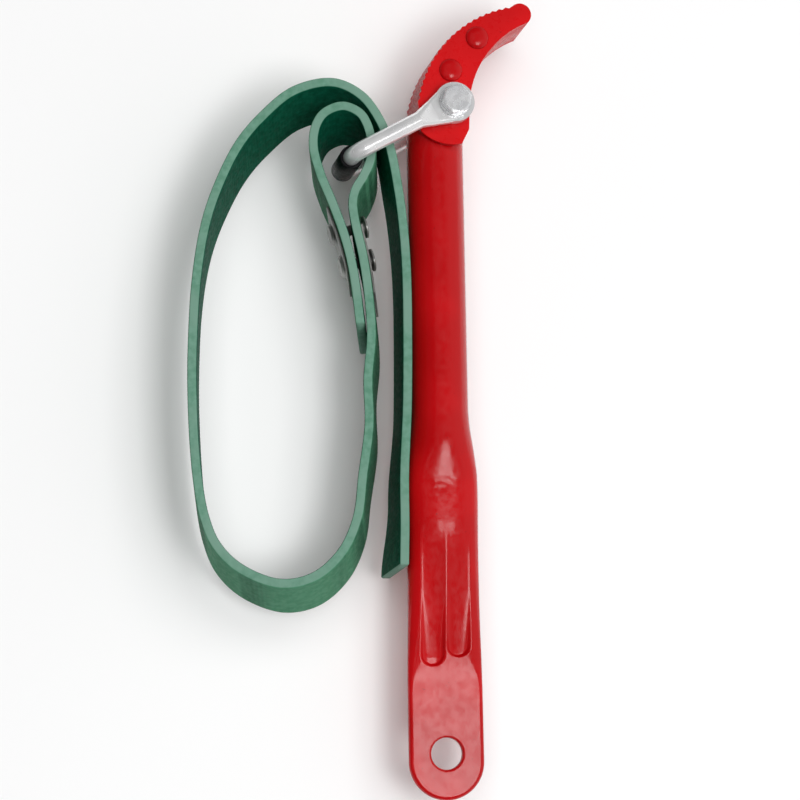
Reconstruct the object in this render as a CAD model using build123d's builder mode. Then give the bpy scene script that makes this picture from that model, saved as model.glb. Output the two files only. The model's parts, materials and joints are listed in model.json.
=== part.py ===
"""Strap oil filter wrench, 300 mm long, lying flat with its pivot bolt upright.

+Y runs from the hanging hole to the jaw, +Z is the side of the bolt's head.
The drawing datum is the pivot's axis at the middle of the handle's thickness.
"""
from build123d import *
from math import cos, pi, radians, sin
import os

os.makedirs("parts", exist_ok=True)

# ---------------------------------------------------------------- driving sizes, mm
PIVOT_X, PIVOT_Y, PIVOT_Z = 34.7, 110.5, 25.6   # the datum, seen from the footprint's middle
SKIN = 0.3                     # air between the shackle's eyes and the cheeks

TUBE_X = -4.75                 # the handle's axis runs beside the pivot
TUBE_R = 10.75
TUBE_WALL = 1.8
TUBE_TOP = -4.4                # the tube is welded on below the jaw's hub
GRIP_START = -119.0
FLAT_START = -210.0
HANDLE_END = -261.0
FLAT_HALF_WIDTH = 14.3
FLAT_THICK = 3.6
FLAT_EDGE = 1.2                # rounding of the flat end's rim
HANG_Y = -243.8
HANG_R = 6.4

CORE_HALF = 11.0               # the jaw block fills the space between the cheeks
CHEEK_THICK = 2.5
HEAD_HALF = CORE_HALF + CHEEK_THICK
TOOTH_COUNT = 21
TOOTH_DEPTH = 0.6
JAW_RIVETS = [(10.0, 26.3), (-0.5, 13.3)]
JAW_RIVET_R = 2.5
JAW_RIVET_HEAD_R = 4.4
JAW_RIVET_DOME = 1.9

BOLT_R = 3.0
BOLT_HOLE_R = 3.2
BOLT_HEAD_FLATS = 10.0
BOLT_HEAD_HIGH = 4.2
HEAD_BEVEL_R = 4.7             # flat top of the bolt's head inside its turned corners
HEAD_BEVEL = 0.9
BOLT_TIP = 0.6                 # chamfer at the bolt's end
BOLT_PROUD = 1.0               # threads that stand out of the nut
WASHER_R = 5.9
WASHER_THICK = 1.2
NUT_HIGH = 4.0
INSERT_HIGH = 1.6
COLLAR_R = 4.7                 # the nut's crimped collar and the nylon ring inside it
INSERT_R = 4.1
INSERT_SET = 0.2

ROD_R = 3.2
SHACKLE_REACH = 44.0           # pivot axis to cross-bar axis
SHACKLE_ANGLE = 208.2          # direction of the shackle at rest, from +X
SHACKLE_BEND = 5.6
EYE_R = 7.6
EYE_THICK = 4.0
SPOON_END = 15.5               # from here on the arm is round
# reach, width, thickness and corner radius of the pressed arm
SPOON = [(2.2, 14.4, 4.0, 1.2), (8.8, 10.2, 4.6, 1.6), (SPOON_END, 6.4, 6.4, 3.1)]
SPOT_MARGIN = 0.4
EYE_FACE = HEAD_HALF + SKIN
ARM_Z = EYE_FACE + ROD_R
SLEEVE_R = 4.4
SLEEVE_GAP = 0.08
SLEEVE_HALF = ARM_Z - SHACKLE_BEND

STRAP_WIDE = 25.0
STRAP_THICK = 3.6
STRAP_STEPS = 110
FLAP_PLATE = (0.0300, 0.0665)  # the plates' ends, as shares of the strap's length
STRAP_PLATE = (0.2000, 0.2365)
RIVET_SHARES = (0.0400, 0.0580)   # where each clamp rivet passes the flap
RIVET_FACING = (0.195, 0.245)  # and the stretch of strap that the flap is riveted to
STRAP_RIVET_R = 2.0
DRILL_GAP = 0.02
STRAP_HEAD_R = 4.3
STRAP_HEAD_DOME = 1.0
RIVET_STUB = 0.4               # the peened end, proud of its burr
BURR_THICK = 0.7
PLATE_WIDE = 20.0
PLATE_THICK = 0.8
PLATE_STEPS = 12
RIVET_TRIES = 100              # how finely the strap is searched for the spot facing a rivet
PLATE_GAP = 0.05
RIVET_SEAT = 0.7               # a rivet isn't quite square to both plates, so its head stands off

DATUM = Plane((PIVOT_X, PIVOT_Y, PIVOT_Z))


def across(y, x=TUBE_X):
    """A plane square to the handle, its own x along +X and its own y along +Z."""
    return Plane(origin=(PIVOT_X + x, PIVOT_Y + y, PIVOT_Z), x_dir=(1, 0, 0), z_dir=(0, -1, 0))


def at(x, y, z=0.0):
    """A point of the datum frame in the part's frame."""
    return (PIVOT_X + x, PIVOT_Y + y, PIVOT_Z + z)


# ---------------------------------------------------------------- handle
def oval(half_wide, half_thick, squareness):
    """A closed oval section: squareness 2 is an ellipse, more is a flattened tube."""
    power = 2 / squareness
    turn = [2 * pi * k / 32 for k in range(32)]
    Spline(
        *[
            (
                half_wide * abs(cos(a)) ** power * (1 if cos(a) >= 0 else -1),
                half_thick * abs(sin(a)) ** power * (1 if sin(a) >= 0 else -1),
            )
            for a in turn
        ],
        periodic=True,
    )


# station along the handle, half width, half thickness, squareness of the tube
GRIP = [
    (GRIP_START, TUBE_R, TUBE_R, 2.0),
    (-134.0, 12.9, 9.8, 2.0),
    (-145.0, 13.5, 8.5, 2.1),
    (-165.0, 13.5, 7.7, 2.2),
    (-190.0, 13.5, 5.7, 2.3),
    (-202.0, 13.8, 4.0, 2.3),
    (-213.0, 13.9, 1.6, 2.5),
]
BORE_END = -200.0

# the pressed end of the handle, a rounded slab
with BuildPart() as flat_end:
    with BuildSketch(DATUM.offset(-FLAT_THICK / 2)):
        with Locations((TUBE_X, HANDLE_END + FLAT_HALF_WIDTH)):
            Circle(FLAT_HALF_WIDTH)
        straight = FLAT_START - HANDLE_END - FLAT_HALF_WIDTH
        with Locations((TUBE_X, FLAT_START - straight / 2)):
            Rectangle(2 * FLAT_HALF_WIDTH, straight)
    extrude(amount=FLAT_THICK)
    rims = flat_end.edges().group_by(Axis.Z)
    fillet(rims[0] + rims[-1], FLAT_EDGE)

with BuildPart() as handle_tube:
    with BuildSketch(across(TUBE_TOP)):
        with BuildLine():
            oval(TUBE_R, TUBE_R, 2.0)
        make_face()
    extrude(amount=TUBE_TOP - GRIP_START)
    for y, wide, thick, square in GRIP:
        with BuildSketch(across(y)):
            with BuildLine():
                oval(wide, thick, square)
            make_face()
    loft()
    add(flat_end.part)
    # the hollow of the tube, closing where the end is pressed flat
    with BuildSketch(across(TUBE_TOP)):
        with BuildLine():
            oval(TUBE_R - TUBE_WALL, TUBE_R - TUBE_WALL, 2.0)
        make_face()
    extrude(amount=TUBE_TOP - GRIP_START, mode=Mode.SUBTRACT)
    for y, wide, thick, square in [row for row in GRIP if row[0] > BORE_END]:
        with BuildSketch(across(y)):
            with BuildLine():
                oval(wide - TUBE_WALL, thick - TUBE_WALL, square)
            make_face()
    loft(mode=Mode.SUBTRACT)
    with BuildSketch(DATUM.offset(-FLAT_THICK)):
        with Locations((TUBE_X, HANG_Y)):
            Circle(HANG_R)
    extrude(amount=2 * FLAT_THICK, mode=Mode.SUBTRACT)

# ---------------------------------------------------------------- jaw
HEEL = (-13.4, 1.0)            # first tooth
ANKLE = (-12.5, -10.5)         # the cheeks' rounded lower end, which covers the tube
SOLE = (-5.0, -14.9)
TOE = (3.4, -15.0)
SHIN = (6.2, -9.4)
CROWN = (1.2, 28.0)
BEAK = (24.0, 39.2)            # last tooth
TIP = (30.9, 38.0)
LIP = (30.1, 33.1)
THROAT = (13.9, 20.4)
NECK = (6.8, 3.0)


def toothed_back():
    """The jaw's convex back: even teeth along the arc from HEEL through CROWN to BEAK."""
    arc = ThreePointArc(HEEL, CROWN, BEAK, mode=Mode.PRIVATE)
    centre = arc.arc_center
    points = []
    for k in range(2 * TOOTH_COUNT + 1):
        on = arc @ (k / (2 * TOOTH_COUNT))
        inward = (centre - on).normalized()
        points.append(on + inward * (TOOTH_DEPTH if k % 2 else 0))
    Polyline(*[(p.X, p.Y) for p in points])


def head_line():
    """Outline of the hooked head, seen from the bolt's side."""
    toothed_back()
    ThreePointArc(BEAK, TIP, LIP)
    ThreePointArc(LIP, THROAT, NECK)
    Line(NECK, SHIN)
    Line(SHIN, TOE)
    ThreePointArc(TOE, SOLE, ANKLE)
    Line(ANKLE, HEEL)


def head_holes():
    """The bolt hole and the two rivet holes, the same in the core and both cheeks."""
    Circle(BOLT_HOLE_R, mode=Mode.SUBTRACT)
    with Locations(*JAW_RIVETS):
        Circle(JAW_RIVET_R, mode=Mode.SUBTRACT)


with BuildPart() as front_cheek:
    with BuildSketch(DATUM.offset(CORE_HALF)):
        with BuildLine():
            head_line()
        make_face()
        head_holes()
    extrude(amount=CHEEK_THICK)

with BuildPart() as rear_cheek:
    with BuildSketch(DATUM.offset(-HEAD_HALF)):
        with BuildLine():
            head_line()
        make_face()
        head_holes()
    extrude(amount=CHEEK_THICK)

CORE_FOOT = TUBE_TOP + 0.2
CORE_REACH = 50.0              # a box that takes in the whole jaw above its foot
with BuildPart() as jaw_core:
    with BuildSketch(DATUM.offset(-CORE_HALF)):
        with BuildLine():
            head_line()
        make_face()
        with Locations((0, CORE_FOOT)):
            Rectangle(2 * CORE_REACH, CORE_REACH, align=(Align.CENTER, Align.MIN), mode=Mode.INTERSECT)
        head_holes()
    extrude(amount=2 * CORE_HALF)

with BuildPart() as jaw_rivets:
    with BuildSketch(DATUM.offset(-HEAD_HALF)):
        with Locations(*JAW_RIVETS):
            Circle(JAW_RIVET_R)
    extrude(amount=2 * HEAD_HALF)
    for level, way in ((HEAD_HALF, 1), (-HEAD_HALF, -1)):
        with BuildSketch(DATUM.offset(level)):
            with Locations(*JAW_RIVETS):
                Circle(JAW_RIVET_HEAD_R)
        extrude(amount=way * JAW_RIVET_DOME)
    crowns = jaw_rivets.edges().filter_by(GeomType.CIRCLE).group_by(Axis.Z)
    fillet(crowns[0] + crowns[-1], JAW_RIVET_DOME * 0.95)

# ---------------------------------------------------------------- pivot bolt
EYE_OUT = EYE_FACE + EYE_THICK
HEAD_SEAT = EYE_OUT + WASHER_THICK
NUT_TOP = -HEAD_SEAT
BOLT_END = NUT_TOP - NUT_HIGH - INSERT_HIGH - BOLT_PROUD

with BuildPart() as pivot_bolt:
    with BuildSketch(DATUM.offset(BOLT_END)):
        Circle(BOLT_R)
    extrude(amount=HEAD_SEAT - BOLT_END)
    chamfer(pivot_bolt.edges().sort_by(Axis.Z)[0], BOLT_TIP)
    with BuildSketch(DATUM.offset(HEAD_SEAT)):
        RegularPolygon(BOLT_HEAD_FLATS / 2, 6, major_radius=False, rotation=12)
    extrude(amount=BOLT_HEAD_HIGH)
    # the head's corners are turned down to a shallow cone
    with BuildSketch(Plane(origin=at(0, 0, HEAD_SEAT), x_dir=(1, 0, 0), z_dir=(0, -1, 0))):
        with BuildLine():
            Polyline((HEAD_BEVEL_R, BOLT_HEAD_HIGH), (BOLT_HEAD_FLATS, BOLT_HEAD_HIGH - HEAD_BEVEL * 2),
                     (BOLT_HEAD_FLATS, BOLT_HEAD_HIGH + 1), (HEAD_BEVEL_R, BOLT_HEAD_HIGH + 1), close=True)
        make_face()
    revolve(axis=Axis(at(0, 0), (0, 0, 1)), mode=Mode.SUBTRACT)


def ring(outer, inner):
    """A flat ring on the working plane."""
    Circle(outer)
    Circle(inner, mode=Mode.SUBTRACT)


with BuildPart() as front_washer:
    with BuildSketch(DATUM.offset(EYE_OUT)):
        ring(WASHER_R, BOLT_HOLE_R)
    extrude(amount=WASHER_THICK)

with BuildPart() as rear_washer:
    with BuildSketch(DATUM.offset(NUT_TOP)):
        ring(WASHER_R, BOLT_HOLE_R)
    extrude(amount=WASHER_THICK)

with BuildPart() as pivot_nut:
    with BuildSketch(DATUM.offset(NUT_TOP)):
        RegularPolygon(BOLT_HEAD_FLATS / 2, 6, major_radius=False, rotation=20)
        Circle(BOLT_R, mode=Mode.SUBTRACT)
    extrude(amount=-NUT_HIGH)
    with BuildSketch(DATUM.offset(NUT_TOP - NUT_HIGH)):
        ring(COLLAR_R, INSERT_R)
    extrude(amount=-INSERT_HIGH)

with BuildPart() as nut_insert:
    with BuildSketch(DATUM.offset(NUT_TOP - NUT_HIGH)):
        ring(INSERT_R, BOLT_R)
    extrude(amount=-INSERT_HIGH + INSERT_SET)

# ---------------------------------------------------------------- shackle and roller
turn = radians(SHACKLE_ANGLE)
REACH_DIR = Vector(cos(turn), sin(turn), 0)
BAR = (SHACKLE_REACH * cos(turn), SHACKLE_REACH * sin(turn))
# a plane that holds the shackle's path: its own x along the arms, its own y along +Z
ARM_PLANE = Plane(origin=at(0, 0), x_dir=REACH_DIR, z_dir=REACH_DIR.cross(Vector(0, 0, 1)))

with BuildPart() as shackle:
    with BuildLine(ARM_PLANE):
        FilletPolyline((SPOON_END, ARM_Z), (SHACKLE_REACH, ARM_Z), (SHACKLE_REACH, -ARM_Z),
                       (SPOON_END, -ARM_Z), radius=SHACKLE_BEND)
    arm_start = REACH_DIR * SPOON_END
    with BuildSketch(Plane(origin=at(arm_start.X, arm_start.Y, ARM_Z), z_dir=REACH_DIR)):
        Circle(ROD_R)
    sweep()
    for side in (1, -1):
        with BuildSketch(DATUM.offset(side * EYE_FACE)):
            Circle(EYE_R)
        extrude(amount=side * EYE_THICK)
        # each arm is pressed flat towards its eye, like the bowl of a spoon
        for reach, wide, thick, corner in SPOON:
            spot = REACH_DIR * reach
            level = side * (EYE_FACE + thick / 2)
            with BuildSketch(Plane(origin=at(spot.X, spot.Y, level), x_dir=(0, 0, 1), z_dir=REACH_DIR)):
                RectangleRounded(thick, wide, corner)
        loft(ruled=True)
        # spot face under the bolt's head and the nut
        with BuildSketch(DATUM.offset(side * EYE_OUT)):
            Circle(WASHER_R + SPOT_MARGIN)
        extrude(amount=side * ROD_R, mode=Mode.SUBTRACT)
    with BuildSketch(DATUM.offset(-EYE_OUT)):
        Circle(BOLT_R + SLEEVE_GAP)
    extrude(amount=2 * EYE_OUT, mode=Mode.SUBTRACT)

with BuildPart() as roller_sleeve:
    with BuildSketch(DATUM.offset(-SLEEVE_HALF)):
        with Locations(BAR):
            Circle(SLEEVE_R)
            Circle(ROD_R + SLEEVE_GAP, mode=Mode.SUBTRACT)
    extrude(amount=2 * SLEEVE_HALF)

# ---------------------------------------------------------------- strap
# the strap's centreline along its upper edge, from the riveted flap round the
# roller, down and round the filter loop, then back beside the handle to its end
STRAP_LINE = [
    (-36.6, -84.5), (-38.1, -70.0), (-40.0, -59.1), (-42.9, -48.5), (-46.7, -37.9),
    (-51.0, -27.2), (-53.4, -16.6), (-52.2, -8.9), (-48.8, -4.0), (-41.9, -1.3),
    (-35.6, -3.8), (-32.9, -8.0), (-31.4, -14.5), (-31.8, -21.5), (-34.4, -27.8),
    (-37.6, -33.2), (-38.8, -38.0), (-38.3, -44.0), (-35.2, -59.0), (-33.1, -75.6),
    (-32.5, -89.0), (-34.0, -105.1), (-33.9, -122.7), (-36.6, -141.3), (-38.9, -157.0),
    (-44.7, -169.6), (-55.0, -178.6), (-67.7, -181.1), (-82.4, -175.5), (-91.0, -167.0),
    (-95.4, -156.5), (-98.0, -141.4), (-99.5, -113.8), (-99.4, -95.2), (-97.9, -70.5),
    (-94.6, -49.4), (-89.5, -33.4), (-81.5, -17.2), (-72.6, -6.1), (-60.2, 4.2),
    (-45.6, 7.7), (-35.2, 3.2), (-28.4, -5.6), (-24.4, -15.9), (-21.4, -32.0),
    (-19.6, -48.0), (-18.7, -64.0), (-18.7, -88.0), (-19.3, -113.2), (-20.8, -141.3),
    (-21.0, -160.0), (-21.4, -174.6),
]
# how far the lower edge stands from the upper edge, in x and y, by share of the length
LEANS = [
    (0.0, 5.5, -7.6), (0.07, 5.5, -7.6), (0.12, 4.3, -7.6), (0.15, 4.3, -7.6), (0.19, 5.5, -7.6),
    (0.30, 5.5, -7.6), (0.50, 3.6, -7.6), (0.60, 2.9, -7.6), (0.70, 4.3, -7.6), (0.735, 4.3, -7.6),
    (0.795, 0.6, -3.8), (0.914, 0.6, -3.8), (0.96, -0.4, -3.7), (1.0, -3.0, -3.2),
]


def lean_at(share):
    """Where the lower edge stands from the upper edge, easing from one row of LEANS to the next."""
    for (start, x, y), (stop, next_x, next_y) in zip(LEANS, LEANS[1:]):
        if share <= stop:
            break
    step = min(1.0, (share - start) / (stop - start))
    step = step * step * (3 - 2 * step)
    return Vector(x + (next_x - x) * step, y + (next_y - y) * step)


def strap_point(share, level, offset):
    """A point of the strap: level 0 is the lower edge and 1 the upper, offset is from the middle layer."""
    on, along = STRAP_CURVE @ share, STRAP_CURVE % share
    spot = on + lean_at(share) * (1 - level) + Vector(-along.Y, along.X).normalized() * offset
    return (spot.X, spot.Y)


STRAP_CURVE = Spline(*STRAP_LINE)


def strap_outline(level, near, far, start=0.0, stop=1.0, steps=STRAP_STEPS):
    """The closed outline of the layer between two offsets, at one height."""
    shares = [start + (stop - start) * k / steps for k in range(steps + 1)]
    there = [strap_point(share, level, near) for share in shares]
    back = [strap_point(share, level, far) for share in reversed(shares)]
    Polyline(*there, *back, close=True)


def strap_plane(level):
    return DATUM.offset((level - 0.5) * STRAP_WIDE)


with BuildPart() as strap:
    for level in (0.0, 1.0):
        with BuildSketch(strap_plane(level)):
            with BuildLine():
                strap_outline(level, STRAP_THICK / 2, -STRAP_THICK / 2)
            make_face()
    loft(ruled=True)

# ---------------------------------------------------------------- clamp on the riveted flap
PLATE_IN = STRAP_THICK / 2 + PLATE_GAP
PLATE_OUT = PLATE_IN + PLATE_THICK
PLATE_LEVELS = (0.5 - PLATE_WIDE / STRAP_WIDE / 2, 0.5 + PLATE_WIDE / STRAP_WIDE / 2)

with BuildPart() as flap_plate:
    for level in PLATE_LEVELS:
        with BuildSketch(strap_plane(level)):
            with BuildLine():
                strap_outline(level, PLATE_IN, PLATE_OUT, *FLAP_PLATE, PLATE_STEPS)
            make_face()
    loft(ruled=True)

with BuildPart() as strap_plate:
    for level in PLATE_LEVELS:
        with BuildSketch(strap_plane(level)):
            with BuildLine():
                strap_outline(level, PLATE_IN, PLATE_OUT, *STRAP_PLATE, PLATE_STEPS)
            make_face()
    loft(ruled=True)


def halfway_up(share):
    """The middle of the strap's section at a share of its length, and its outward direction."""
    middle = Vector(*strap_point(share, 0.5, 0))
    return middle, Vector(*strap_point(share, 0.5, 1)) - middle


def clamp_rivet(share):
    """The plane across a rivet, midway between the two plates, and half the rivet's grip."""
    flap, flap_out = halfway_up(share)
    best = None
    for k in range(RIVET_TRIES + 1):
        facing = RIVET_FACING[0] + (RIVET_FACING[1] - RIVET_FACING[0]) * k / RIVET_TRIES
        strap_mid, strap_out = halfway_up(facing)
        direction = (strap_out - flap_out).normalized()
        miss = (strap_mid - flap).cross(direction).length
        if best is None or miss < best[0]:
            best = (miss, strap_mid, direction)
    _, strap_mid, direction = best
    middle = (flap + strap_mid) / 2
    plane = Plane(origin=at(middle.X, middle.Y), x_dir=(0, 0, 1), z_dir=direction)
    return plane, (strap_mid - flap).length / 2 + PLATE_OUT + RIVET_SEAT


with BuildPart() as strap_rivets:
    for share in RIVET_SHARES:
        plane, half = clamp_rivet(share)
        with BuildSketch(plane.offset(-half)):
            Circle(STRAP_RIVET_R)
        extrude(amount=2 * half + BURR_THICK + RIVET_STUB)
        with BuildSketch(plane.offset(-half)):
            Circle(STRAP_HEAD_R)
        extrude(amount=-STRAP_HEAD_DOME, taper=45)

with BuildPart() as rivet_burrs:
    for share in RIVET_SHARES:
        plane, half = clamp_rivet(share)
        with BuildSketch(plane.offset(half)):
            ring(STRAP_HEAD_R, STRAP_RIVET_R)
        extrude(amount=BURR_THICK)

# the rivets pass through both thicknesses and both plates
for drilled in (strap, flap_plate, strap_plate):
    with drilled:
        for share in RIVET_SHARES:
            plane, half = clamp_rivet(share)
            with BuildSketch(plane.offset(-half)):
                Circle(STRAP_RIVET_R + DRILL_GAP)
            extrude(amount=2 * half, mode=Mode.SUBTRACT)

# ---------------------------------------------------------------- one file for each piece
for name, piece in (
    ("handle_tube", handle_tube), ("front_cheek", front_cheek), ("rear_cheek", rear_cheek),
    ("jaw_core", jaw_core), ("jaw_rivets", jaw_rivets), ("pivot_bolt", pivot_bolt),
    ("front_washer", front_washer), ("rear_washer", rear_washer), ("pivot_nut", pivot_nut),
    ("nut_insert", nut_insert), ("shackle", shackle), ("roller_sleeve", roller_sleeve),
    ("strap", strap), ("flap_plate", flap_plate), ("strap_plate", strap_plate),
    ("strap_rivets", strap_rivets), ("rivet_burrs", rivet_burrs),
):
    piece.part.label = name
    export_step(piece.part, f"parts/{name}.step")
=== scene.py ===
"""Looks of the strap oil filter wrench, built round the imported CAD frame. Lengths in metres.

+Y runs from the hanging hole to the jaw and +Z is the side of the bolt's head.
"""
import json
import math

import bpy
import numpy as np
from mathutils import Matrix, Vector, noise


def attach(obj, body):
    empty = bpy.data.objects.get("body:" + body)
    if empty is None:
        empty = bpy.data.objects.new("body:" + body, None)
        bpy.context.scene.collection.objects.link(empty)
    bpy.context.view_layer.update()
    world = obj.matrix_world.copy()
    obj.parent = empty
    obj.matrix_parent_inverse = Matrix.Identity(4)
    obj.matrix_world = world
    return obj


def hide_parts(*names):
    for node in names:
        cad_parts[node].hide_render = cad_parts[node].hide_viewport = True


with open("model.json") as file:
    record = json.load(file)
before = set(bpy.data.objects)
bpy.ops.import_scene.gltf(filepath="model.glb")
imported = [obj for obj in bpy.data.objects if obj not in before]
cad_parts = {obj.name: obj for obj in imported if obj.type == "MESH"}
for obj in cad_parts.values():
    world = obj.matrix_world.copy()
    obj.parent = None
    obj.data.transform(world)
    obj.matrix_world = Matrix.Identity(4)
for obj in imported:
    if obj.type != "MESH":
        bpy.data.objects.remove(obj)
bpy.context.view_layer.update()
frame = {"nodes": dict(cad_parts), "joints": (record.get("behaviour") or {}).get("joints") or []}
nodes = frame["nodes"]

MM = 0.001
PIVOT = Vector(next(j["pos_m"] for j in frame["joints"] if j["name"] == "shackle_pivot"))


# ---------------------------------------------------------------- camera, floor and light
def add_object(name, data):
    obj = bpy.data.objects.new(name, data)
    bpy.context.scene.collection.objects.link(obj)
    return obj


def aim(obj, back, roll=0.0):
    """Turns obj so that it looks against back, with +Y up in its picture, then rolls it."""
    obj.rotation_mode = "QUATERNION"
    right = Vector((0, 1, 0)).cross(back).normalized()
    up = back.cross(right)
    turned = right * math.cos(roll) + up * math.sin(roll)
    above = up * math.cos(roll) - right * math.sin(roll)
    matrix = obj.matrix_world.to_3x3()
    matrix.col[0], matrix.col[1], matrix.col[2] = turned, above, back
    obj.rotation_quaternion = matrix.to_quaternion()


CAMERA_SIDE = math.radians(10)      # the camera stands over the strap's side
CAMERA_LOW = math.radians(8)        # and towards the hanging hole
CAMERA_ROLL = math.radians(-1)
CAMERA_AWAY = 1.0
LENS, SENSOR = 119.4, 36.0
VIEW_CENTRE = Vector((0.0148, -0.0009, PIVOT.z))

camera = add_object("camera", bpy.data.cameras.new("camera"))
camera.data.lens, camera.data.sensor_width = LENS, SENSOR
back = Vector((
    -math.sin(CAMERA_SIDE) * math.cos(CAMERA_LOW),
    -math.sin(CAMERA_LOW),
    math.cos(CAMERA_SIDE) * math.cos(CAMERA_LOW),
))
camera.location = VIEW_CENTRE + back * CAMERA_AWAY
aim(camera, back, CAMERA_ROLL)
bpy.context.scene.camera = camera


def softbox(name, centre, target, size, radiance, glossy=True):
    """A rectangular area light whose surface has that radiance."""
    light = bpy.data.lights.new(name, "AREA")
    light.shape = "RECTANGLE"
    light.size, light.size_y = size
    light.energy = radiance * math.pi * size[0] * size[1]
    obj = add_object(name, light)
    obj.location = centre
    aim(obj, (Vector(centre) - Vector(target)).normalized())
    obj.visible_glossy = glossy
    return obj


softbox("end_box", (0.27, -0.26, 1.2), (0.27, -0.26, 0), (0.34, 0.46), 7.0)
softbox("fill_box", (0.2, 0.2, 1.9), (0, 0, 0), (2.2, 2.2), 2.4, glossy=False)
softbox("left_strip", (-0.45, -0.35, 1.0), (0, -0.1, 0), (0.06, 0.5), 1.6)


def surround():
    """A dim studio with its brightest wall on the right and a dark opening overhead."""
    world = bpy.data.worlds.new("studio")
    bpy.context.scene.world = world
    world.use_nodes = True
    tree = world.node_tree
    tree.nodes.clear()
    coords = tree.nodes.new("ShaderNodeTexCoord")
    split = tree.nodes.new("ShaderNodeSeparateXYZ")
    tree.links.new(coords.outputs["Generated"], split.inputs[0])
    side = tree.nodes.new("ShaderNodeMapRange")
    side.interpolation_type = "SMOOTHSTEP"
    tree.links.new(split.outputs["X"], side.inputs["Value"])
    side.inputs["From Min"].default_value = 0.2
    side.inputs["From Max"].default_value = 0.75
    side.inputs["To Min"].default_value = 0.12
    side.inputs["To Max"].default_value = 0.72
    roof = tree.nodes.new("ShaderNodeMapRange")
    roof.interpolation_type = "SMOOTHSTEP"
    tree.links.new(split.outputs["Z"], roof.inputs["Value"])
    roof.inputs["From Min"].default_value = 0.70
    roof.inputs["From Max"].default_value = 0.93
    roof.inputs["To Min"].default_value = 1.0
    roof.inputs["To Max"].default_value = 0.30
    strength = tree.nodes.new("ShaderNodeMath")
    strength.operation = "MULTIPLY"
    tree.links.new(side.outputs[0], strength.inputs[0])
    tree.links.new(roof.outputs[0], strength.inputs[1])
    glow = tree.nodes.new("ShaderNodeBackground")
    tree.links.new(strength.outputs[0], glow.inputs["Strength"])
    out = tree.nodes.new("ShaderNodeOutputWorld")
    tree.links.new(glow.outputs[0], out.inputs["Surface"])


surround()
bpy.context.scene.view_settings.view_transform = "Standard"
bpy.context.scene.view_settings.look = "None"


# ---------------------------------------------------------------- materials
class Paint:
    """A Principled material and the few node chains that the finishes below share."""

    def __init__(self, name, **sockets):
        self.material = bpy.data.materials.new(name)
        self.material.use_nodes = True
        self.tree = self.material.node_tree
        self.shader = self.tree.nodes["Principled BSDF"]
        for key, value in sockets.items():
            self.shader.inputs[key.replace("_", " ")].default_value = value
        self.coords = self.tree.nodes.new("ShaderNodeTexCoord").outputs["Object"]
        self.height = None

    def link(self, source, target):
        self.tree.links.new(source, target)

    def noise(self, scale, detail=3.0, stretch=(1, 1, 1), distortion=0.0):
        place = self.tree.nodes.new("ShaderNodeMapping")
        place.inputs["Scale"].default_value = stretch
        self.link(self.coords, place.inputs["Vector"])
        grain = self.tree.nodes.new("ShaderNodeTexNoise")
        grain.inputs["Scale"].default_value = scale
        grain.inputs["Detail"].default_value = detail
        grain.inputs["Distortion"].default_value = distortion
        self.link(place.outputs[0], grain.inputs["Vector"])
        return grain.outputs["Fac"]

    def attribute(self, name):
        node = self.tree.nodes.new("ShaderNodeAttribute")
        node.attribute_name = name
        return node.outputs["Fac"]

    def ramp(self, source, low, high, to_low=0.0, to_high=1.0):
        node = self.tree.nodes.new("ShaderNodeMapRange")
        node.interpolation_type = "SMOOTHSTEP"
        self.link(source, node.inputs["Value"])
        for key, value in zip(("From Min", "From Max", "To Min", "To Max"), (low, high, to_low, to_high)):
            node.inputs[key].default_value = value
        return node.outputs[0]

    def mix(self, factor, first, second):
        """Blends two colours, each a tuple or a node's output."""
        node = self.tree.nodes.new("ShaderNodeMix")
        node.data_type = "RGBA"
        self.link(factor, node.inputs["Factor"])
        for key, value in (("A", first), ("B", second)):
            socket = next(s for s in node.inputs if s.name == key and s.type == "RGBA")
            if isinstance(value, tuple):
                socket.default_value = (*value, 1)
            else:
                self.link(value, socket)
        return next(s for s in node.outputs if s.type == "RGBA")

    def colour(self, source):
        self.link(source, self.shader.inputs["Base Color"])

    def rough(self, source):
        self.link(source, self.shader.inputs["Roughness"])

    def bump(self, source, depth, strength=1.0):
        """Adds a layer of relief, depth metres high."""
        node = self.tree.nodes.new("ShaderNodeBump")
        node.inputs["Strength"].default_value = strength
        node.inputs["Distance"].default_value = depth
        self.link(source, node.inputs["Height"])
        if self.height is not None:
            self.link(self.height, node.inputs["Normal"])
        self.height = node.outputs[0]
        self.link(self.height, self.shader.inputs["Normal"])


def red_paint(name, rough, gloss, ior=1.5, reds=(0.43, 0.51)):
    """Thick red enamel with faint clouding between two reds, specks and orange peel."""
    p = Paint(name, IOR=ior, Specular_IOR_Level=gloss)
    body = p.mix(p.ramp(p.noise(35, 2), 0.35, 0.68), (reds[0], 0.0014, 0.0030), (reds[1], 0.0026, 0.0050))
    speck = p.ramp(p.noise(900, 2), 0.70, 0.78)
    p.colour(p.mix(speck, body, (0.30, 0.0010, 0.0020)))
    p.rough(p.ramp(p.noise(420, 3), 0.3, 0.7, rough * 0.75, rough * 1.35))
    p.bump(p.noise(160, 2), 0.00010, 0.5)
    p.bump(p.noise(700, 2), 0.00002, 0.6)
    return p.material


def metal(name, tint, shade, rough, gloss, streak=(1, 1, 1)):
    """Plated or drawn steel: gloss is its share of mirror-like reflection."""
    p = Paint(name, Metallic=gloss, Specular_IOR_Level=0.7)
    cloud = p.noise(70, 3)
    scratch = p.noise(500, 2, streak)
    p.colour(p.mix(p.ramp(cloud, 0.35, 0.70), shade, tint))
    p.rough(p.ramp(scratch, 0.3, 0.7, rough * 0.85, rough * 1.25))
    p.bump(p.noise(150, 2), 0.00003, 0.25)
    return p.material


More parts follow.
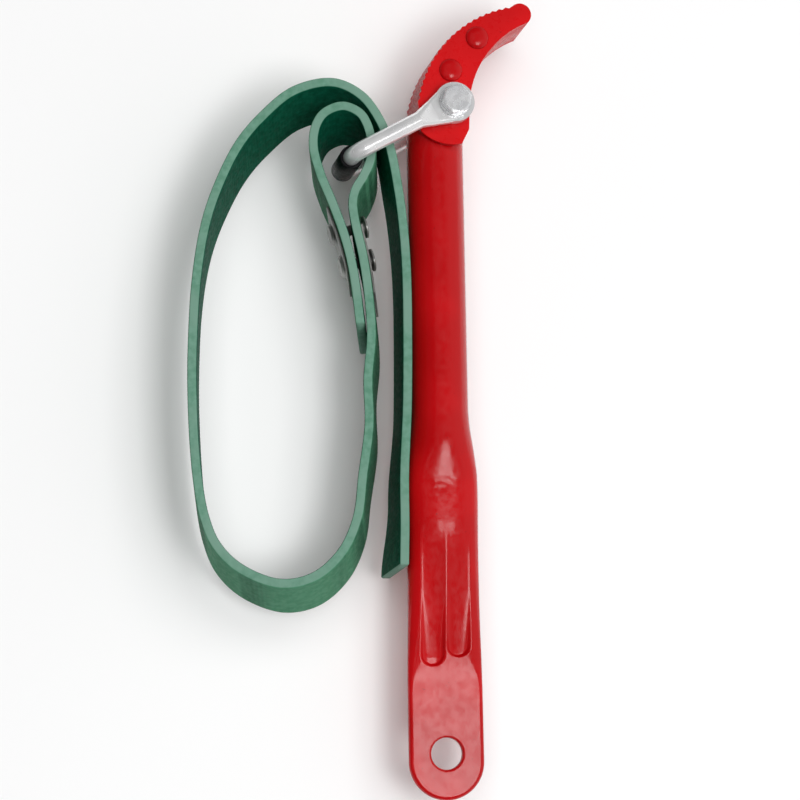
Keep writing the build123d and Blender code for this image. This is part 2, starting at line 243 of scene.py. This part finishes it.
def black_rubber():
    p = Paint("black_sleeve", IOR=1.3, Specular_IOR_Level=0.45)
    p.colour(p.mix(p.ramp(p.noise(300, 3), 0.35, 0.7), (0.004, 0.004, 0.005), (0.010, 0.010, 0.011)))
    p.rough(p.ramp(p.noise(800, 3), 0.3, 0.7, 0.28, 0.45))
    p.bump(p.noise(1200, 3), 0.00003, 0.5)
    return p.material


def nylon():
    p = Paint("nylon_insert", Subsurface_Weight=0.05, Specular_IOR_Level=0.4)
    p.colour(p.mix(p.ramp(p.noise(400, 2), 0.3, 0.7), (0.62, 0.64, 0.60), (0.74, 0.75, 0.70)))
    p.rough(p.ramp(p.noise(900, 2), 0.3, 0.7, 0.40, 0.55))
    p.bump(p.noise(1500, 2), 0.00002, 0.4)
    return p.material


def strap_rubber():
    """Green nitrile strap: layer is 0 in the middle of a cut edge and 1 on either face. The inner face is
    painted a darker green as painted shade and the outer face a lighter one as painted light, lighter
    still where the strap bends sharply.
    """
    p = Paint("green_strap", IOR=1.15, Specular_IOR_Level=0.3)
    layer = p.attribute("layer")
    mottle = p.noise(420, 4)
    worn = p.ramp(p.noise(38, 3), 0.38, 0.66)
    edge = p.mix(p.ramp(mottle, 0.3, 0.7), (0.098, 0.236, 0.162), (0.150, 0.305, 0.226))
    edge = p.mix(worn, edge, (0.168, 0.300, 0.232))
    # Painted shade and light: one rubber, darker green on the inner face and lighter green on the outer
    # face.
    shaded_inner_face = p.mix(p.ramp(mottle, 0.3, 0.7), (0.001, 0.062, 0.032), (0.004, 0.098, 0.053))
    lit_outer_face = p.mix(p.ramp(mottle, 0.3, 0.7), (0.036, 0.135, 0.074), (0.060, 0.190, 0.112))
    # Painted light: the outer face turns a lighter green where the strap bends sharply.
    lit_bend_face = p.mix(p.ramp(mottle, 0.3, 0.7), (0.068, 0.235, 0.130), (0.094, 0.285, 0.170))
    lit_outer_face = p.mix(p.attribute("bend"), lit_outer_face, lit_bend_face)
    face = p.mix(p.attribute("outer"), shaded_inner_face, lit_outer_face)
    p.colour(p.mix(p.ramp(layer, 0.78, 0.95), edge, face))
    p.rough(p.ramp(p.noise(700, 3), 0.3, 0.7, 0.48, 0.66))
    p.bump(p.noise(1500, 3), 0.00004, 0.6)
    p.bump(p.noise(300, 3), 0.00006, 0.5)
    return p.material


RED = red_paint("red_enamel", 0.18, 0.36)
# The jaw's copy of the red enamel has lighter reds than the handle's: painted light for the brighter light
# on the head.
LIT_JAW_RED = red_paint("lit_jaw_enamel", 0.32, 0.45, 1.3, (0.52, 0.62))
ZINC = metal("zinc_plate", (0.93, 0.93, 0.94), (0.80, 0.81, 0.83), 0.26, 0.55)
STEEL = metal("bright_steel", (0.95, 0.95, 0.95), (0.86, 0.86, 0.87), 0.22, 0.50, (1, 1, 4))
CLAMP = metal("clamp_steel", (0.40, 0.40, 0.38), (0.24, 0.24, 0.23), 0.38, 0.75)
SLEEVE = black_rubber()
NYLON = nylon()
STRAP = strap_rubber()


def dress(node, material):
    nodes[node].data.materials.clear()
    nodes[node].data.materials.append(material)


for node, material in (
    ("front_cheek", LIT_JAW_RED), ("rear_cheek", LIT_JAW_RED), ("jaw_core", LIT_JAW_RED),
    ("pivot_bolt", ZINC), ("front_washer", ZINC), ("rear_washer", ZINC), ("pivot_nut", ZINC),
    ("nut_insert", NYLON), ("shackle", STEEL), ("roller_sleeve", SLEEVE),
    ("flap_plate", CLAMP), ("strap_plate", CLAMP), ("strap_rivets", CLAMP), ("rivet_burrs", CLAMP),
):
    dress(node, material)


def soften(node, width, segments=3, angle=35):
    """Rounds a CAD node's sharp edges as a modifier, which leaves its own mesh as it is."""
    weld = nodes[node].modifiers.new("weld", "WELD")
    weld.merge_threshold = 0.00001
    bevel = nodes[node].modifiers.new("edges", "BEVEL")
    bevel.width, bevel.segments = width, segments
    bevel.limit_method, bevel.angle_limit = "ANGLE", math.radians(angle)
    bevel.harden_normals = True


for node, width in (
    ("front_cheek", 0.0008), ("rear_cheek", 0.0008), ("jaw_core", 0.0003), ("pivot_bolt", 0.0003),
    ("front_washer", 0.0002), ("rear_washer", 0.0002), ("pivot_nut", 0.0003),
    ("roller_sleeve", 0.0003), ("flap_plate", 0.0002), ("strap_plate", 0.0002),
    ("strap_rivets", 0.0003), ("rivet_burrs", 0.0001),
):
    soften(node, width)


# ---------------------------------------------------------------- mesh helpers
def loft_rings(name, rings):
    """A mesh of quads through rings of equal length, with each end drawn to a point."""
    rings = np.asarray(rings, float)
    count, size = rings.shape[:2]
    points = rings.reshape(-1, 3).tolist()
    faces = []
    for i in range(count - 1):
        for j in range(size):
            k = (j + 1) % size
            faces.append((i * size + j, i * size + k, (i + 1) * size + k, (i + 1) * size + j))
    for i, flip in ((0, True), (count - 1, False)):
        centre = len(points)
        points.append(rings[i].mean(0).tolist())
        for j in range(size):
            a, b = i * size + j, i * size + (j + 1) % size
            faces.append((b, a, centre) if flip else (a, b, centre))
    mesh = bpy.data.meshes.new(name)
    mesh.from_pydata(points, [], faces)
    mesh.validate()
    mesh.shade_smooth()
    mesh.update()
    return mesh


def smooth(value, low, high):
    t = np.clip((value - low) / (high - low), 0, 1)
    return t * t * (3 - 2 * t)


# ---------------------------------------------------------------- strap
STRAP_WIDE, STRAP_THICK = 25 * MM, 3.6 * MM
STRAP_LINE = [
    (-36.6, -84.5), (-38.1, -70.0), (-40.0, -59.1), (-42.9, -48.5), (-46.7, -37.9),
    (-51.0, -27.2), (-53.4, -16.6), (-52.2, -8.9), (-48.8, -4.0), (-41.9, -1.3),
    (-35.6, -3.8), (-32.9, -8.0), (-31.4, -14.5), (-31.8, -21.5), (-34.4, -27.8),
    (-37.6, -33.2), (-38.8, -38.0), (-38.3, -44.0), (-35.2, -59.0), (-33.1, -75.6),
    (-32.5, -89.0), (-34.0, -105.1), (-33.9, -122.7), (-36.6, -141.3), (-38.9, -157.0),
    (-44.7, -169.6), (-55.0, -178.6), (-67.7, -181.1), (-82.4, -175.5), (-91.0, -167.0),
    (-95.4, -156.5), (-98.0, -141.4), (-99.5, -113.8), (-99.4, -95.2), (-97.9, -70.5),
    (-94.6, -49.4), (-89.5, -33.4), (-81.5, -17.2), (-72.6, -6.1), (-60.2, 4.2),
    (-45.6, 7.7), (-35.2, 3.2), (-28.4, -5.6), (-24.4, -15.9), (-21.4, -32.0),
    (-19.6, -48.0), (-18.7, -64.0), (-18.7, -88.0), (-19.3, -113.2), (-20.8, -141.3),
    (-21.0, -160.0), (-21.4, -174.6),
]
# share of the length, then how far the lower edge stands from the upper edge in x and y
LEANS = np.array([
    (0.0, 5.5, -7.6), (0.07, 5.5, -7.6), (0.12, 4.3, -7.6), (0.15, 4.3, -7.6), (0.19, 5.5, -7.6),
    (0.30, 5.5, -7.6), (0.50, 3.6, -7.6), (0.60, 2.9, -7.6), (0.70, 4.3, -7.6), (0.735, 4.3, -7.6),
    (0.795, 0.6, -3.8), (0.914, 0.6, -3.8), (0.96, -0.4, -3.7), (1.0, -3.0, -3.2),
])
# The painted light on the strap's outer face grows from EASY_BEND to SHARP_BEND.
SHARP_BEND, EASY_BEND = 36.0, 16.0      # turns of the line, in radians per metre
CUT_INSET = (0.97, 0.80)                # the strap's cut ends, against its full section
RIB_PITCH, RIB_DEPTH = 1.5 * MM, 0.10 * MM
RING_STEP = 0.5 * MM
EDGE_ROUND = 0.5 * MM
RIPPLE_HIGH, RIPPLE_SCALE = 0.10 * MM, 45.0   # slow waviness along the strap, and its turns a metre
CUT_LAYER = 0.3                         # a cut end is as pale as the strap's edges


def smooth_line(points, step):
    """Even points along the centripetal Catmull-Rom curve through the given ones."""
    p = np.array(points, float)
    p = np.vstack([2 * p[0] - p[1], p, 2 * p[-1] - p[-2]])
    dense = []
    for i in range(1, len(p) - 2):
        a, b, c, d = p[i - 1:i + 3]
        t1 = np.linalg.norm(b - a) ** 0.5
        t2 = t1 + np.linalg.norm(c - b) ** 0.5
        t3 = t2 + np.linalg.norm(d - c) ** 0.5
        for t in np.linspace(t1, t2, 24, endpoint=False):
            a1 = a * (t1 - t) / t1 + b * t / t1
            a2 = b * (t2 - t) / (t2 - t1) + c * (t - t1) / (t2 - t1)
            a3 = c * (t3 - t) / (t3 - t2) + d * (t - t2) / (t3 - t2)
            b1 = a1 * (t2 - t) / t2 + a2 * t / t2
            b2 = a2 * (t3 - t) / (t3 - t1) + a3 * (t - t1) / (t3 - t1)
            dense.append(b1 * (t2 - t) / (t2 - t1) + b2 * (t - t1) / (t2 - t1))
    dense.append(p[-2])
    dense = np.array(dense)
    run = np.concatenate([[0], np.cumsum(np.linalg.norm(np.diff(dense, axis=0), axis=1))])
    even = np.linspace(0, run[-1], int(run[-1] / step) + 1)
    return np.stack([np.interp(even, run, dense[:, k]) for k in range(2)], axis=1), run[-1]


def strap_section():
    """Rounded rectangle: height above the middle and offset towards the loop's outside."""
    half_w, half_t, r = STRAP_WIDE / 2, STRAP_THICK / 2, EDGE_ROUND
    turns = np.linspace(0, math.pi / 2, 4)
    rows = []
    for sign_w, sign_t, start in ((1, 1, 0), (1, -1, 1), (-1, -1, 0), (-1, 1, 1)):
        arc = [(sign_w * (half_w - r + r * math.sin(a)), sign_t * (half_t - r + r * math.cos(a)))
               for a in turns]
        rows += arc[::-1] if start else arc
        last = rows[-1]
        if start == 0:
            steps = [(last[0], sign_t * (half_t - r) * (1 - 2 * k / 5)) for k in range(1, 5)]
        else:
            steps = [(sign_w * (half_w - r) * (1 - 2 * k / 10), last[1]) for k in range(1, 10)]
        rows += steps
    return np.array(rows)


def leans_at(share):
    """The lean at each share, easing from one row of LEANS to the next."""
    row = np.clip(np.searchsorted(LEANS[:, 0], share, side="right") - 1, 0, len(LEANS) - 2)
    step = smooth(share, LEANS[row, 0], LEANS[row + 1, 0])[:, None]
    return (LEANS[row, 1:] * (1 - step) + LEANS[row + 1, 1:] * step) * MM


def build_strap():
    line, length = smooth_line(STRAP_LINE, RING_STEP / MM)
    line, length = line * MM, length * MM
    count = len(line)
    along = np.gradient(line, axis=0)
    along /= np.linalg.norm(along, axis=1)[:, None]
    normal = np.stack([-along[:, 1], along[:, 0]], axis=1)
    share = np.linspace(0, 1, count)
    lean = leans_at(share)
    # How sharply the strap turns here; the material paints the outer face lighter there as painted light.
    turn = np.gradient(along, axis=0)
    bend = (along[:, 1] * turn[:, 0] - along[:, 0] * turn[:, 1]) / (length / (count - 1))
    bend = smooth(bend, EASY_BEND, SHARP_BEND)
    section = strap_section()
    on_face = np.abs(np.abs(section[:, 1]) - STRAP_THICK / 2) < 1e-6
    run = share * length
    rib = RIB_DEPTH * (0.5 - 0.5 * np.cos(run / RIB_PITCH * 2 * math.pi))
    ripple = RIPPLE_HIGH * np.array([noise.noise(Vector((s * RIPPLE_SCALE, 0.3, 0))) for s in run])
    rings = np.zeros((count, len(section), 3))
    inset = np.ones((count, 2))
    inset[[0, -1]] = CUT_INSET
    for j, (high, offset) in enumerate(section):
        depth = offset * inset[:, 1] - (math.copysign(1, offset) * rib if on_face[j] else 0) + ripple
        height = high * inset[:, 0]
        down = (0.5 - height / STRAP_WIDE)[:, None]
        rings[:, j, :2] = line + lean * down + normal * depth[:, None] + np.array(PIVOT[:2])
        rings[:, j, 2] = PIVOT.z + height
    obj = add_object("green_strap", loft_rings("green_strap", rings))
    layer = np.tile(np.abs(section[:, 1]) / (STRAP_THICK / 2), (count, 1))
    layer[[0, -1]] = CUT_LAYER
    # outer marks the loop's outside, which the material paints in the lit tone; the inside gets the shaded
    # tone.
    outer = np.tile(section[:, 1] > 0, (count, 1))
    bend = np.repeat(bend[:, None], len(section), axis=1)
    for name, values, at_ends in (("layer", layer, CUT_LAYER), ("outer", outer, 0), ("bend", bend, 0)):
        field = obj.data.attributes.new(name, "FLOAT", "POINT")
        values = np.append(values.ravel(), [at_ends, at_ends])
        field.data.foreach_set("value", values.astype(np.float32))
    obj.data.materials.append(STRAP)
    return obj


strap = build_strap()
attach(strap, "strap")
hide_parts("strap")


# ---------------------------------------------------------------- handle
TUBE_X = -4.75
TUBE_WALL, TUBE_TOP = 1.8, -4.4
END_R, FLAT_HALF, HANDLE_END = 14.3, 1.8, -261.0
HANG_Y, HANG_R = -243.8, 6.4
BORE_END = -196.0
RIDGE = 9.7                     # the outer ridges' distance from the middle one
LEFT_FLUTE_END, RIGHT_FLUTE_END = -206.8, -203.5
FLUTE_DEPTH, TONGUE_DEPTH = 0.10, 1.3   # below the ridges' chord, then more at the flutes' ends
FLUTE_FROM, FLUTE_FULL = -157.0, -172.0
TONGUE_FROM, TONGUE_LONG = -182.0, 22.0
LUMP_Y, LUMP_REACH, LUMP_HIGH, LUMP_SCALE = -143.5, 5.5, 0.07, 0.6
ROUND_N = 144
# station, half width, half thickness, squareness, width of the rounded side
PROFILE = np.array([
    (-4.0, 10.75, 10.75, 2.0, 10.75), (-116.0, 10.75, 10.75, 2.0, 10.75), (-122.0, 11.2, 10.75, 2.0, 11.2),
    (-128.0, 12.15, 10.75, 2.0, 12.15), (-131.0, 12.6, 10.5, 2.1, 12.6), (-139.0, 13.5, 8.9, 2.55, 13.5),
    (-143.0, 13.62, 8.5, 2.7, 13.62), (-150.0, 13.7, 8.4, 2.6, 13.7), (-158.0, 13.6, 8.3, 2.5, 13.6),
    (-165.0, 13.5, 8.0, 2.5, 13.5), (-175.0, 13.5, 7.3, 2.45, 13.5), (-190.0, 13.6, 5.8, 2.4, 13.4),
    (-200.0, 13.8, 4.3, 2.3, 12.0), (-207.0, 14.0, 3.1, 2.2, 8.0), (-213.0, 14.1, 2.1, 2.0, 3.4),
    (-216.0, 14.15, 1.8, 2.0, 2.0), (-220.0, 14.2, 1.8, 2.0, 1.5), (-262.0, 14.3, 1.8, 2.0, 1.5),
])


def profile_at(y):
    table = PROFILE[::-1]
    return [np.interp(y, table[:, 0], table[:, k]) for k in range(1, 5)]


def smoothed_profile(y):
    """The station table with its corners eased over a few millimetres."""
    reach = 3.5 if y < -112 else 0.0
    offsets = np.linspace(-reach, reach, 9)
    weights = 1 + np.cos(offsets / max(reach, 1e-6) * math.pi) if reach else np.ones(9)
    rows = np.array([profile_at(y + o) for o in offsets])
    return (rows * weights[:, None]).sum(0) / weights.sum()


def half_height(x, y, wide, thick, square, rim):
    """Height of the handle's skin above its middle plane at a point of its plan."""
    centre = HANDLE_END + END_R
    reach = np.hypot(x, min(0.0, y - centre))
    s = np.clip((reach - (wide - rim)) / rim, 0, 1)
    return thick * (1 - s ** square) ** (1 / square)


def flute(x, y, wide, thick, square, rim):
    """How much the two pressed flutes take from the skin at a point of the plan."""
    side = np.sign(x)
    middle = side * RIDGE / 2
    end = np.where(side < 0, LEFT_FLUTE_END, RIGHT_FLUTE_END)
    near = np.hypot(x - middle, np.minimum(0, y - end))
    inside = smooth(RIDGE / 2 - near, -0.1, 1.1)
    start = 1 - smooth(y, FLUTE_FULL, FLUTE_FROM)
    top = half_height(np.zeros(1), y, wide, thick, square, rim)[0]
    low = half_height(np.array([RIDGE]), y, wide, thick, square, rim)[0]
    chord = top + (low - top) * np.abs(x) / RIDGE
    sag = half_height(x, y, wide, thick, square, rim) - chord
    deep = FLUTE_DEPTH + TONGUE_DEPTH * np.clip((TONGUE_FROM - y) / TONGUE_LONG, 0, 1.2) ** 1.4
    hollow = deep * np.clip(1 - ((np.abs(x) - RIDGE / 2) / (RIDGE / 2)) ** 4, 0, 1)
    return np.where(np.abs(x) < RIDGE, inside * start * (sag + hollow), 0)


def lumps(x, y):
    """Small irregular swellings of the paint and metal where the tube begins to flatten."""
    zone = math.exp(-((y - LUMP_Y) / LUMP_REACH) ** 2)
    if zone < 0.01:
        return np.zeros_like(x)
    values = np.array([noise.noise(Vector((a * LUMP_SCALE, y * LUMP_SCALE, 5.1))) for a in x])
    return LUMP_HIGH * zone * values


def handle_ring(y, shrink=0.0, detail=True):
    wide, thick, square, rim = smoothed_profile(y)
    wide, thick, rim = wide - shrink, thick - shrink, rim - shrink
    centre = HANDLE_END + END_R
    half = math.sqrt(max(wide ** 2 - min(0.0, y - centre) ** 2, 1e-6))
    x = -half * np.cos(np.linspace(0, math.pi, 400))
    z = half_height(x, y, wide, thick, square, rim)
    if detail:
        z = z - flute(x, y, wide, thick, square, rim) + lumps(x, y)
    z[0] = z[-1] = 0
    loop = np.vstack([np.stack([x, z], 1), np.stack([x[::-1], -z[::-1]], 1)[1:]])
    run = np.concatenate([[0], np.cumsum(np.linalg.norm(np.diff(loop, axis=0), axis=1))])
    even = np.linspace(0, run[-1], ROUND_N, endpoint=False)
    xs, zs = (np.interp(even, run, loop[:, k]) for k in range(2))
    ring = np.stack([xs + TUBE_X, np.full(ROUND_N, y), zs], axis=1) * MM
    return ring + np.array(PIVOT)


def handle_stations():
    centre = HANDLE_END + END_R
    straight = np.concatenate([
        np.linspace(TUBE_TOP - 0.4, -110, 60), np.linspace(-110, -200, 200)[1:],
        np.linspace(-200, -220, 90)[1:], np.linspace(-220, centre, 60)[1:],
    ])
    turn = np.linspace(0, math.pi / 2, 60)[1:-1]
    return np.concatenate([straight, centre - END_R * np.sin(turn)])


def build_handle():
    bore = [handle_ring(y, TUBE_WALL, detail=False) for y in np.linspace(BORE_END, -110, 50)]
    bore += [handle_ring(y, TUBE_WALL, detail=False) for y in np.linspace(-100, TUBE_TOP - 0.3, 12)]
    rim = [handle_ring(TUBE_TOP, TUBE_WALL - 0.3, detail=False), handle_ring(TUBE_TOP, 0.3, detail=False)]
    skin = [handle_ring(y) for y in handle_stations()]
    obj = add_object("red_handle", loft_rings("red_handle", bore + rim + skin))
    obj.data.materials.append(RED)
    return obj


def spool(name, x, y, radius, flare, half_high):
    """A cutter for a hole whose rims round over by flare at the surfaces."""
    profile = [(radius + flare, half_high + 3)]
    profile += [(radius + flare * (1 - math.cos(a)), half_high - flare * (1 - math.sin(a)))
                for a in np.linspace(math.pi / 2, 0, 7)]
    profile += [(r, -z) for r, z in reversed(profile)]
    turn = np.linspace(0, 2 * math.pi, 96, endpoint=False)
    rings = [
        [(PIVOT.x + (x + r * math.cos(a)) * MM, PIVOT.y + (y + r * math.sin(a)) * MM, PIVOT.z + z * MM)
         for a in turn] for r, z in reversed(profile)
    ]
    return add_object(name, loft_rings(name, rings))


def cut(obj, cutters):
    for cutter in cutters:
        step = obj.modifiers.new("cut", "BOOLEAN")
        step.operation, step.solver, step.object = "DIFFERENCE", "EXACT", cutter
    bpy.context.view_layer.update()
    shape = obj.evaluated_get(bpy.context.evaluated_depsgraph_get())
    mesh = bpy.data.meshes.new_from_object(shape)
    obj.modifiers.clear()
    obj.data = mesh
    for cutter in cutters:
        bpy.data.objects.remove(cutter)


handle = build_handle()
cut(handle, [spool("hang_cutter", TUBE_X, HANG_Y, HANG_R - 0.5, 0.9, FLAT_HALF)])
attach(handle, "handle")
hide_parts("handle_tube")


# ---------------------------------------------------------------- jaw rivets
JAW_RIVETS = ((10.0, 26.3), (-0.5, 13.3))
RIVET_R, RIVET_HEAD_R, RIVET_DOME, HEAD_HALF = 2.5, 4.4, 1.9, 13.5


def build_rivets():
    """Both painted rivets: a shank between two domed heads with rolled rims."""
    rise = np.linspace(0, 1, 14)[1:]
    dome = [(RIVET_HEAD_R - 0.12, 0.0), (RIVET_HEAD_R, 0.22)]
    for t in rise[:-1] * math.pi / 2:
        dome.append((RIVET_HEAD_R * math.cos(t) ** 0.85, 0.22 + (RIVET_DOME - 0.22) * math.sin(t)))
    side = [(RIVET_R, 0.0)] + dome
    profile = [(r, -HEAD_HALF - z) for r, z in reversed(side)] + [(r, HEAD_HALF + z) for r, z in side]
    turn = np.linspace(0, 2 * math.pi, 48, endpoint=False)
    halves = []
    for k, (x, y) in enumerate(JAW_RIVETS):
        rings = [
            [(PIVOT.x + (x + r * math.cos(a)) * MM, PIVOT.y + (y + r * math.sin(a)) * MM, PIVOT.z + z * MM)
             for a in turn] for r, z in profile
        ]
        halves.append(add_object(f"jaw_rivet_{k}", loft_rings(f"jaw_rivet_{k}", rings)))
    with bpy.context.temp_override(active_object=halves[0], selected_editable_objects=halves):
        bpy.ops.object.join()
    halves[0].name = "domed_rivets"
    halves[0].data.materials.append(RED)
    return halves[0]


rivets = build_rivets()
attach(rivets, "handle")
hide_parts("jaw_rivets")


# ---------------------------------------------------------------- floor
def build_floor():
    mesh = bpy.data.meshes.new("floor")
    mesh.from_pydata([(-3, -3, 0), (3, -3, 0), (3, 3, 0), (-3, 3, 0)], [], [(0, 1, 2, 3)])
    floor = add_object("floor", mesh)
    p = Paint("floor", Roughness=0.9, Specular_IOR_Level=0.0)
    p.colour(p.mix(p.ramp(p.noise(3, 2), 0.3, 0.7), (0.93, 0.93, 0.93), (0.95, 0.95, 0.95)))
    mesh.materials.append(p.material)
    return floor


build_floor()
